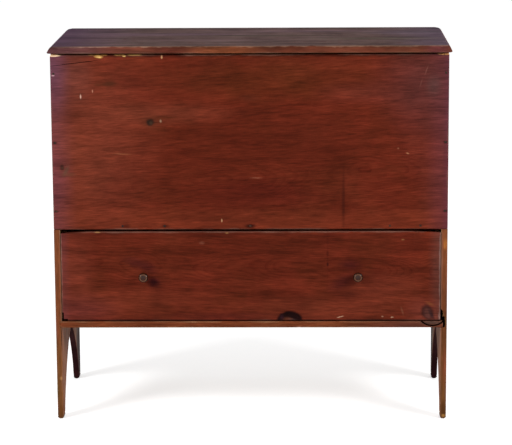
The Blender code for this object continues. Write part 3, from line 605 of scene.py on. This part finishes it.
drawer_fades = [
    # purple haze towards the ends: partly painted reflection of the side lamps, partly tone
    (0, -0.478, -0.508, "#5a3034", 0.5),
    (0, 0.470, 0.508, "#54342e", 0.55),
    # pale lines at both ends and along the top: painted highlight on the rounded arrises, with wear
    (0, -0.5045, -0.5070, "#77625a", 0.6),
    (0, 0.5030, 0.5065, "#77605a", 0.6),
    (2, 0.5125, 0.5145, "#6e5044", 0.3),
]
lid_fades = [
    (0, -0.280, -0.530, "#3f3450", 0.6),
    (0, -0.430, -0.535, "#362b58", 0.5),
    (0, 0.320, 0.530, "#4a3f54", 0.5),
    # pale line along the front of the top: painted highlight on the rounded arris, with wear
    (1, LID_FRONT + 0.011, LID_FRONT + 0.007, "#96755f", 0.7),
    (2, LID_TOP - 0.0012, LID_TOP - 0.0035, "#4c2014", 0.92),
    (0, -0.280, -0.534, "#4c3238", 0.62),
]
lid_marks = [
    ((x * MM, y * MM, 0.0), (wide * MM / 2, deep * MM / 2, 0.0), 0.0, code, 0.9, strength)
    for x, y, wide, deep, code, strength in (
        # pale and dark patches of the top
        (-260, 60, 420, 60, "#614a56", 0.6),
        (-120, -90, 300, 40, "#685052", 0.6),
        (150, 140, 460, 50, "#664f58", 0.5),
        (60, 20, 380, 34, "#40382e", 0.6),
        (330, -60, 300, 46, "#564d40", 0.6),
        (-330, -150, 260, 30, "#3a302c", 0.6),
        (240, -170, 340, 26, "#44352c", 0.5),
        (-40, 200, 520, 30, "#372a30", 0.5),
        (420, 90, 180, 90, "#5a4b56", 0.5),
        # worn and dark lengths of the nosing
        (-60, -241, 150, 12, "#824629", 0.65),
        (110, -241, 120, 12, "#5e2c1b", 0.45),
        (230, -241, 110, 12, "#5c2f1f", 0.5),
        (330, -241, 90, 12, "#502618", 0.5),
        (420, -241, 100, 12, "#592f20", 0.5),
        (-210, -241, 80, 12, "#4f2018", 0.5),
        (-330, -241, 100, 12, "#6f3a2c", 0.5),
        (495, -241, 50, 12, "#5c2c30", 0.6),
    )
]
edge_fades = [
    (1, FRONT_Y + 0.004, FRONT_Y + 0.001, "#6e4025", 0.75),
    (2, 0.330, 0.150, "#6b4424", 0.8),
    (2, 0.060, 0.000, "#4a2f18", 0.6),
]
edge_marks = {
    "left": [
        spot(-521, 250, 9, 60, "#7b4028", 0.8, 0.6),
        spot(-511, 226, 2.5, 56, "#2a1410", 0.6, 0.8),
        spot(-515, 112, 7, 9, "#a67a4c", 0.7, 0.6),
        spot(-523, 76, 6, 60, "#4f3a18", 0.8, 0.6),
        spot(-516, 24, 14, 26, "#5b3416", 0.9, 0.6),
    ],
    "right": [
        spot(520, 150, 12, 90, "#80432c", 0.8, 0.7),
        spot(520, 480, 9, 26, "#a8672f", 0.7, 0.6),
        spot(518, 32, 12, 34, "#4b2b14", 0.8, 0.7),
        spot(519, 8, 10, 8, "#a4753f", 0.6, 0.8),
    ],
}
end_fades = [(2, 0.140, 0.000, "#50301c", 0.55)]
back_fades = [(2, 0.450, 0.260, "#3c2619", 0.5), (2, 0.880, 0.990, "#7c5a43", 0.3)]
back_marks = [
    ((0.0, 0.0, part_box(node)[0].z), (0.0, 0.0, 7 * MM), 0.0, "#2a1910", 0.9, 0.7)
    for node in ("back_board_top", "back_board_middle")
]
# Painted shade: the rear legs darker behind and low down, where the case shades them
rear_leg_shade = [((0.0, BACK_Y, 0.08), (0.0, 0.10, 0.20), 0.0, "#210d0d", 0.5, 0.92)]

front_red = pine("red_stained_pine_front", "X", (0.0, FRONT_Y + 0.08, 0.66), RED, tilt=(0.0, -0.05, 0.03),
                 wear=(*FRONT_BOX, 6 * MM, 0.8), fades=front_fades, marks=front_marks)
drawer_red = pine("red_stained_pine_drawer", "X", (0.0, FRONT_Y + 0.06, 0.42), RED, tilt=(0.0, 0.03, -0.02),
                  wear=(*DRAWER_BOX, 6 * MM, 0.7), fades=drawer_fades, marks=drawer_marks, uneven=0.4)
end_grain = pine("red_stained_end_grain", "X", (0.0, FRONT_Y + 0.08, 0.66), RED,
                 wear=(*FRONT_BOX, 5 * MM, 0.5), roughness=0.7)
rail_red = pine("red_stained_pine_rail", "X", (0.0, -0.2, 0.20), EDGE_RED,
                wear=(*RAIL_BOX, 6 * MM, 0.9), marks=rail_marks)
lid_grey = pine("weathered_lid_pine", "X", (0.0, 0.04, LID_TOP - 0.09), LID_GREY, tilt=(0.0, 0.02, 0.04),
                wear=(*LID_BOX, 6 * MM, 0.45), fades=lid_fades, marks=lid_marks, roughness=0.8, uneven=0.55)
end_red = {}
end_edge = {}
for side, sign in (("left", -1), ("right", 1)):
    rubbing = (*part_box(f"{side}_end_board"), 7 * MM, 0.6)
    pith = (sign * 0.42, 0.05, 0.0)
    end_red[side] = pine(f"red_stained_pine_{side}_end", "Z", pith, RED, fades=end_fades, wear=rubbing)
    end_edge[side] = pine(f"rubbed_pine_{side}_edge", "Z", pith, RED, fades=edge_fades,
                          marks=edge_marks[side], wear=rubbing)
wash = {
    row: pine(f"red_washed_pine_back_{row}", "X", (0.0, BACK_Y - depth, height), WASH,
              fades=back_fades, marks=back_marks, relief=0.5)
    for row, depth, height in (("top", 0.11, 0.83), ("middle", 0.07, 0.60), ("bottom", 0.14, 0.41))
}
bare = {
    grain: pine(f"bare_aged_pine_{grain.lower()}", grain, pith, BARE, roughness=0.7, specular=0.2, blotch=0.35)
    for grain, pith in (("X", (0.0, 0.02, 0.74)), ("Y", (0.40, 0.0, 0.30)), ("Z", (0.30, 0.06, 0.0)))
}
leg_brown = pine("brown_stained_pine_legs", "Z", (0.3, 0.05, 0.0), LEG_BROWN, marks=rear_leg_shade)
arch_shade_and_dirt = pine("shaded_dirty_sawn_pine_arch", "Z", (0.3, 0.05, 0.0), ARCH_SHADE_AND_DIRT, roughness=0.8)
rusty = iron("oxidised_wrought_iron")
cut_dirt_and_shade = packed_dirt_and_shade("packed_dirt_and_shade")


def faces_along(direction, least=0.9):
    """A test for faces that look one way."""
    wanted = Vector(direction)
    return lambda face: face.normal.dot(wanted) > least


# Chips along the top of the front board, its long split, and dents lower down
TOP_CHIPS = (
    (-0.399, (0.018, 0.005, 0.007)),
    (-0.340, (0.016, 0.005, 0.004)),
    (-0.302, (0.020, 0.005, 0.003)),
    (-HALF_WIDTH, (0.020, 0.006, 0.004)),
    (HALF_WIDTH, (0.032, 0.006, 0.0035)),
)
TOP_SPLIT = (0.072, 0.005, 0.0008)
FRONT_DENTS = ((-0.448, 0.881, 3, 5), (-0.234, 0.814, 4, 4), (-0.076, 0.546, 2, 4))
DENT = 1.2 * MM


def front_board():
    piece = copied("front_board", "front_board_pine")
    rubbed(piece, 2.2 * MM, 1.4 * MM, 0)
    top = FRONT_BOX[1].z
    for x, size in TOP_CHIPS:
        gouged(piece, (x, FRONT_Y, top + MM), size)
    gouged(piece, (-0.462, FRONT_Y, 0.9685), TOP_SPLIT, -0.12, 1)
    for x, z, wide, high in FRONT_DENTS:
        gouged(piece, (x, FRONT_Y, z), (wide * MM, DENT, high * MM))
    shaded(piece, [
        (front_red, None),
        (cut_dirt_and_shade, None),
        (bare["X"], faces_along((0, 1, 0))),
        (end_grain, lambda face: abs(face.normal.x) > 0.9 and abs(face.center.x) > HALF_WIDTH - NEAR),
    ])
    placed(piece, "case", "front_board")


def drawer_front():
    piece = copied("drawer_front", "drawer_front_pine")
    low, high = DRAWER_BOX
    rubbed(piece, 1.8 * MM, 1.2 * MM, 0)
    gouged(piece, (0.240, FRONT_Y, 0.282), (0.011, 0.0012, 0.0018), 0.25)
    gouged(piece, (0.379, FRONT_Y, 0.281), (0.004, 0.0012, 0.002))
    planed(piece, (low.x, FRONT_Y, high.z - 0.0050), (-0.0050, 0.0, 0.072))
    planed(piece, (high.x, FRONT_Y, high.z - 0.0040), (0.0040, 0.0, 0.090))
    corner = Vector((low.x - MM, FRONT_Y - MM, low.z - MM))
    for wide, high_up in ((0.0042, 0.023), (0.0150, 0.0058)):
        notched(piece, corner, (low.x + wide, FRONT_Y + 0.005, low.z + high_up), finish=1)
    shaded(piece, [(drawer_red, None), (cut_dirt_and_shade, None), (bare["X"], faces_along((0, 1, 0)))])
    placed(piece, "drawer", "drawer_front")


def drawer_rail():
    piece = copied("drawer_rail", "drawer_rail_pine")
    low, high = RAIL_BOX
    rubbed(piece, 2.0 * MM, 1.2 * MM, 0)
    bpy.ops.object.select_all(action="DESELECT")
    sag = {"major_radius": 0.0417, "minor_radius": 0.0021, "major_segments": 96, "minor_segments": 8}
    bpy.ops.mesh.primitive_torus_add(location=(0.487, FRONT_Y, 0.2997), rotation=(math.pi / 2, 0, 0), **sag)
    crack = bpy.context.active_object
    crack.scale.z = 4.0
    bpy.ops.object.transform_apply(location=True, rotation=True, scale=True)
    carved(piece, crack, 1)
    gouged(piece, (0.130, FRONT_Y, low.z), (0.006, 0.003, 0.003))
    shaded(piece, [(rail_red, None), (cut_dirt_and_shade, None), (bare["X"], faces_along((0, 1, 0)))])
    placed(piece, "case", "drawer_rail")


def worn_feet(piece, middle):
    """Rounds the foot of an end board across its thickness, as years of dragging leave it."""
    pick(piece, "VERT", lambda vert: True)
    for height, _ in FOOT_WEAR:
        if height:
            bpy.ops.mesh.select_all(action="SELECT")
            bpy.ops.mesh.bisect(plane_co=(0.0, 0.0, height), plane_no=(0.0, 0.0, 1.0))
    close()
    for height, share in FOOT_WEAR:
        pick(piece, "VERT", lambda vert: abs(vert.co.z - height) < NEAR)
        bpy.ops.transform.resize(value=(share, 1.0, 1.0), center_override=(middle, 0.0, 0.0))
        close()


def end_board(side, sign):
    node = f"{side}_end_board"
    piece = copied(node, f"{node}_pine")
    low, high = corners(piece)
    outer = sign * HALF_WIDTH
    inner = sign * HALF_INSIDE

    def in_arch(point):
        level = ARCH_FLOOR < point.z < RAIL_FOOT - ARCH_DROP
        return level and low.y + ARCH_INSET < point.y < high.y - ARCH_INSET

    def worn_edge(edge):
        a, b = (vert.co for vert in edge.verts)
        flat = any(abs(a.x - x) < NEAR and abs(b.x - x) < NEAR for x in (outer, inner))
        arch = max(a.z, b.z) < RAIL_FOOT - ARCH_DROP and edge.calc_length() > ARCH_EDGE
        front = max(a.y, b.y) < low.y + NEAR and not beside_drawer(edge)
        rear = min(a.y, b.y) > high.y - NEAR and abs(a.x - outer) < NEAR
        above = min(a.z, b.z) > FOOT_TOP - NEAR
        return above and flat and edge.calc_face_angle(0.0) > CORNER and (arch or front or rear)

    def beside_drawer(edge):
        a, b = (vert.co for vert in edge.verts)
        inside = max(abs(a.x - inner), abs(b.x - inner)) < NEAR
        return inside and max(a.y, b.y) < low.y + NEAR and min(a.z, b.z) > RAIL_FOOT

    pick(piece, "VERT", lambda vert: True)
    bpy.ops.mesh.bisect(plane_co=(0.0, 0.0, FOOT_TOP), plane_no=(0.0, 0.0, 1.0))
    close()
    rubbed(piece, 2.0 * MM, 0.0, 2, worn_edge)
    rubbed(piece, 0.8 * MM, 0.0, 2, beside_drawer)
    if sign > 0:
        gouged(piece, (HALF_INSIDE, FRONT_Y, 0.287), (0.0075, 0.018, 0.015), finish=1)
        gouged(piece, (HALF_INSIDE + 0.0075, FRONT_Y, 0.268), (0.0065, 0.016, 0.015), finish=1)
    worn_feet(piece, (outer + inner) / 2)
    inside = faces_along((-sign, 0, 0))
    shaded(piece, [
        (end_red[side], None),
        (cut_dirt_and_shade, None),
        (end_edge[side], lambda face: face.normal.y < -0.5 and face.center.y < FRONT_Y + 0.004),
        (bare["Z"], lambda face: inside(face) and face.center.z > RAIL_FOOT),
        (leg_brown, lambda face: inside(face) and face.center.z < RAIL_FOOT),
        # the arches take the near-black finish: dirt and painted shade
        (arch_shade_and_dirt, lambda face: abs(face.normal.x) < 0.5 and in_arch(face.center)),
    ])
    placed(piece, "case", node)


def lid_board():
    piece = copied("lid", "lid_pine_board")
    sliced(piece, 0)
    group = piece.vertex_groups.new(name="nosing")
    front = [v for v in piece.data.vertices if v.co.y < LID_FRONT + NOSING_DEPTH]
    worn = [v.index for v in front if v.co.z > LID_FOOT + NOSING_FOOT]
    group.add(worn, 1.0, "REPLACE")
    wear = {"texture": RUB, "texture_coords": "LOCAL", "strength": -1.2 * MM, "mid_level": 0.0}
    apply(piece, "DISPLACE", vertex_group="nosing", **wear)
    for sign, rub in LID_END_WEAR:
        end = piece.vertex_groups.new(name="end")
        for vert in piece.data.vertices:
            height = (vert.co.z - LID_FOOT - LID_END_FOOT) / (LID_TOP - LID_FOOT - LID_END_FOOT)
            nearness = (LID_END_REACH + sign * vert.co.x - LID_BOX[1].x) / LID_END_REACH
            if height > 0 and nearness > 0:
                end.add([vert.index], height * min(1.0, 2 * nearness), "REPLACE")
        apply(piece, "DISPLACE", vertex_group=end.name, direction="X", strength=-sign * rub, mid_level=0.0)
    shaded(piece, [(lid_grey, None), (bare["X"], faces_along((0, 0, -1)))])
    placed(piece, "lid", "lid")


def plain_board(node, body, finish, ease=0.8 * MM, inside=None):
    """A board that is only eased along its arrises."""
    piece = copied(node, f"{node}_pine")
    rubbed(piece, ease, 0.0, 0)
    shaded(piece, [(finish, None)] + ([(bare["X"], faces_along(inside))] if inside else []))
    placed(piece, body, node)


def back_and_inside_boards():
    for row in ("top", "middle", "bottom"):
        plain_board(f"back_board_{row}", "case", wash[row], 0.7 * MM, (0, -1, 0))
    for row in ("front", "rear"):
        plain_board(f"chest_bottom_{row}", "case", bare["X"])
    for side in ("left", "right"):
        plain_board(f"drawer_runner_{side}", "case", bare["Y"])
        plain_board(f"drawer_stop_{side}", "case", bare["Y"])
        plain_board(f"drawer_{side}_side", "drawer", bare["Y"])
    plain_board("drawer_back", "drawer", bare["X"])
    plain_board("drawer_bottom", "drawer", bare["X"], 0.5 * MM)


def knob_finish():
    """Turned maple, stained brown: glossy from handling, pale on the rim where it is rubbed and as a painted
    highlight of the lamps, dark in the dished face.
    """
    finish, tree, shader = new_finish("stained_turned_maple", 0.2, 0.24)
    place = add(tree, "TexCoord", out="Object")
    grain = add(tree, "Mapping", {"Vector": place, "Scale": (1 / MAPLE, 1 / MAPLE_RUN, 1 / MAPLE)})
    streaks = add(tree, "TexNoise", {"Vector": grain, "Scale": 1.0, "Detail": 3.0})
    colour = add(tree, "ValToRGB", {"Fac": streaks}, stops=[(0.3, "#1c0902"), (0.7, "#361606")])
    depth = add(tree, "SeparateXYZ", {0: place}, out=1)
    # pale rim: wear together with a painted highlight
    ends = {"Value": depth, "From Min": FRONT_Y - 0.0213, "From Max": FRONT_Y - 0.0219, "To Max": 0.26}
    rim = add(tree, "MapRange", ends, interpolation_type="SMOOTHSTEP")
    colour = add(tree, "Mix", {0: rim, 6: colour, 7: tint("#9a6238")}, out=2, data_type="RGBA")
    tree.links.new(colour, shader.inputs["Base Color"])
    return finish


# A knob's profile, as shares of its radius: the dished head by its depth behind the rim, the neck and foot by their
# height above the drawer front, and the tenon
KNOB_HEAD = (
    (0.0, 0.0016), (0.18, 0.0015), (0.36, 0.0012), (0.5, 0.0007), (0.60, 0.0001), (0.66, 0.0),
    (0.74, 0.0004), (0.84, 0.0016), (0.93, 0.0036), (0.985, 0.0058), (1.0, 0.0075),
    (0.985, 0.0092), (0.93, 0.0112), (0.82, 0.0135), (0.68, 0.0158),
)
KNOB_TENON = 0.37
KNOB_NECK = ((0.58, 0.0042), (0.55, 0.0030), (0.58, 0.0019), (0.66, 0.0011), (0.70, 0.0004), (KNOB_TENON, 0.0004))


def knobs():
    finish = knob_finish()
    for side in ("left", "right"):
        node = f"drawer_knob_{side}"
        low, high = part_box(node)
        middle = (low + high) / 2
        reach = FRONT_Y - low.y
        radius = high.x - middle.x
        tenon = high.y - FRONT_Y
        profile = [(share, reach - back) for share, back in KNOB_HEAD]
        profile += [*KNOB_NECK, (KNOB_TENON, -tenon), (0.0, -tenon)]
        bpy.ops.object.select_all(action="DESELECT")
        bpy.ops.mesh.primitive_plane_add(size=MM, location=(middle.x, FRONT_Y - profile[0][1], middle.z))
        piece = bpy.context.active_object
        piece.name = f"drawer_knob_{side}_turned"
        bpy.ops.object.transform_apply(location=True)
        pick(piece, "VERT", lambda vert: True)
        bpy.ops.mesh.merge(type="CENTER")
        for (r0, h0), (r1, h1) in zip(profile, profile[1:]):
            step = ((r1 - r0) * radius, h0 - h1, 0.0)
            bpy.ops.mesh.extrude_region_move(TRANSFORM_OT_translate={"value": step})
        bpy.ops.mesh.select_all(action="SELECT")
        bpy.ops.mesh.spin(steps=KNOB_STEPS, angle=math.tau, center=middle, axis=(0.0, 1.0, 0.0))
        bpy.ops.mesh.select_all(action="SELECT")
        bpy.ops.mesh.remove_doubles(threshold=WELD)
        bpy.ops.mesh.normals_make_consistent(inside=False)
        close()
        shaded(piece, [(finish, None)])
        placed(piece, "drawer", node)


NAIL_RIM = 1.1 * MM
NAIL_CROWN = 0.35 * MM
SCREW_SLOT = (8.0 * MM, 0.9 * MM, 1.8 * MM)
HINGE_EASE = 0.25 * MM


def nails_and_hinges():
    facing = {"front_nail": (0, -1, 0), "back_nail": (0, 1, 0), "end_nail_left": (-1, 0, 0),
              "end_nail_right": (1, 0, 0), "drawer_bottom_nail": (0, 0, -1)}
    for node in [row["node"] for row in frame["record"]["subparts"]]:
        if "nail" in node:
            way = next(v for k, v in facing.items() if node.startswith(k))
            piece = copied(node, f"{node}_forged")
            pick(piece, "FACE", faces_along(way))
            bpy.ops.mesh.inset(thickness=NAIL_RIM, depth=NAIL_CROWN)
            close()
            shaded(piece, [(rusty, None)])
            placed(piece, "drawer" if node.startswith("drawer") else "case", node)
        elif node.startswith("hinge"):
            piece = copied(node, f"{node}_forged")
            low, high = corners(piece)
            middle = (low + high) / 2
            if "screw" in node:
                top = low.z if "_lid_" in node else high.z
                half = Vector(SCREW_SLOT) / 2
                centre = Vector((middle.x, middle.y, top))
                notched(piece, centre - half, centre + half, node.count("_1") * 0.5 + middle.x * 3, 1)
            else:
                apply(piece, "BEVEL", width=HINGE_EASE, segments=2, limit_method="ANGLE", angle_limit=SHARP)
            shaded(piece, [(rusty, None), (cut_dirt_and_shade, None)])
            placed(piece, "lid" if "_lid_" in node else "case", node)


def in_sight(tree):
    """Whether a ray comes from the camera, straight, off a gloss or through glass."""
    ray = add(tree, "LightPath", out=None).outputs
    seen = add(tree, "Math", {0: ray["Is Camera Ray"], 1: ray["Is Glossy Ray"]}, operation="MAXIMUM")
    return add(tree, "Math", {0: seen, 1: ray["Is Transmission Ray"]}, operation="MAXIMUM")


def floor():
    """White seamless paper: it shows the shadow of the chest and is white to the camera elsewhere."""
    bpy.ops.object.select_all(action="DESELECT")
    bpy.ops.mesh.primitive_plane_add(size=60.0, location=(0.0, 0.0, -0.0005))
    paper = bpy.context.active_object
    paper.name = "paper_floor"
    finish = bpy.data.materials.new("white_paper")
    finish.use_nodes = True
    tree = finish.node_tree
    tree.nodes.clear()
    matt = add(tree, "BsdfDiffuse", {"Color": tint("#d4d4d4")})
    far = add(tree, "VectorMath", {0: add(tree, "TexCoord", out="Object")}, out="Value", operation="LENGTH")
    ends = {"Value": far, "From Min": 1.2, "From Max": 3.5, "To Min": 0.6, "To Max": 0.74}
    level = add(tree, "MapRange", ends, interpolation_type="SMOOTHSTEP")
    lift = add(tree, "Math", {0: in_sight(tree), 1: level}, operation="MULTIPLY")
    glow = add(tree, "Emission", {"Strength": lift})
    both = add(tree, "AddShader", {0: matt, 1: glow})
    add(tree, "OutputMaterial", {"Surface": both}, out=None)
    paper.data.materials.append(finish)


# Each lamp's place, watts and width; all of them face the middle of the chest
LAMPS = (
    ("left_softbox", (-2.0, -1.5, 1.5), 52.0, 0.7),
    ("right_softbox", (2.05, -1.35, 1.55), 46.0, 0.7),
    ("rear_fill", (0.9, 3.0, 2.4), 34.0, 1.6),
)
LAMP_AIM = (0.0, 0.0, 0.55)
ROOM_LIGHT = 0.42


def lights():
    world = bpy.context.scene.world or bpy.data.worlds.new("studio")
    bpy.context.scene.world = world
    world.use_nodes = True
    tree = world.node_tree
    tree.nodes.clear()
    level = add(tree, "MapRange", {"Value": in_sight(tree), "To Min": ROOM_LIGHT, "To Max": 1.0})
    paper = add(tree, "Background", {"Color": (1.0, 1.0, 1.0, 1.0), "Strength": level})
    add(tree, "OutputWorld", {"Surface": paper}, out=None)
    for name, place, power, size in LAMPS:
        lamp = bpy.data.lights.new(name, "AREA")
        lamp.energy = power
        lamp.size = size
        obj = bpy.data.objects.new(name, lamp)
        bpy.context.scene.collection.objects.link(obj)
        obj.location = place
        aim = Vector(LAMP_AIM) - obj.location
        obj.rotation_euler = aim.to_track_quat("-Z", "Y").to_euler()
        obj.visible_glossy = name != "rear_fill"


# Lens and film in millimetres, angles in degrees
LENS = 161.0
FILM = 36.0
CAMERA_PLACE = (0.146, FRONT_Y - 6.0, 1.670)
CAMERA_TURN = 1.25
CAMERA_DIP = 10.66
CAMERA_ROLL = -0.34


def camera():
    """A long lens, a little right of the middle and looking slightly down."""
    data = bpy.data.cameras.new("camera")
    data.lens = LENS
    data.sensor_width = FILM
    obj = bpy.data.objects.new("camera", data)
    bpy.context.scene.collection.objects.link(obj)
    turn = Matrix.Rotation(math.radians(CAMERA_TURN), 4, "Z")
    tilt = Matrix.Rotation(math.radians(90 - CAMERA_DIP), 4, "X")
    roll = Matrix.Rotation(math.radians(CAMERA_ROLL), 4, "Z")
    obj.matrix_world = Matrix.Translation(CAMERA_PLACE) @ turn @ tilt @ roll
    bpy.context.scene.camera = obj


front_board()
drawer_front()
drawer_rail()
end_board("left", -1)
end_board("right", 1)
lid_board()
back_and_inside_boards()
knobs()
nails_and_hinges()
floor()
lights()
camera()
bpy.context.scene.view_settings.view_transform = "Standard"
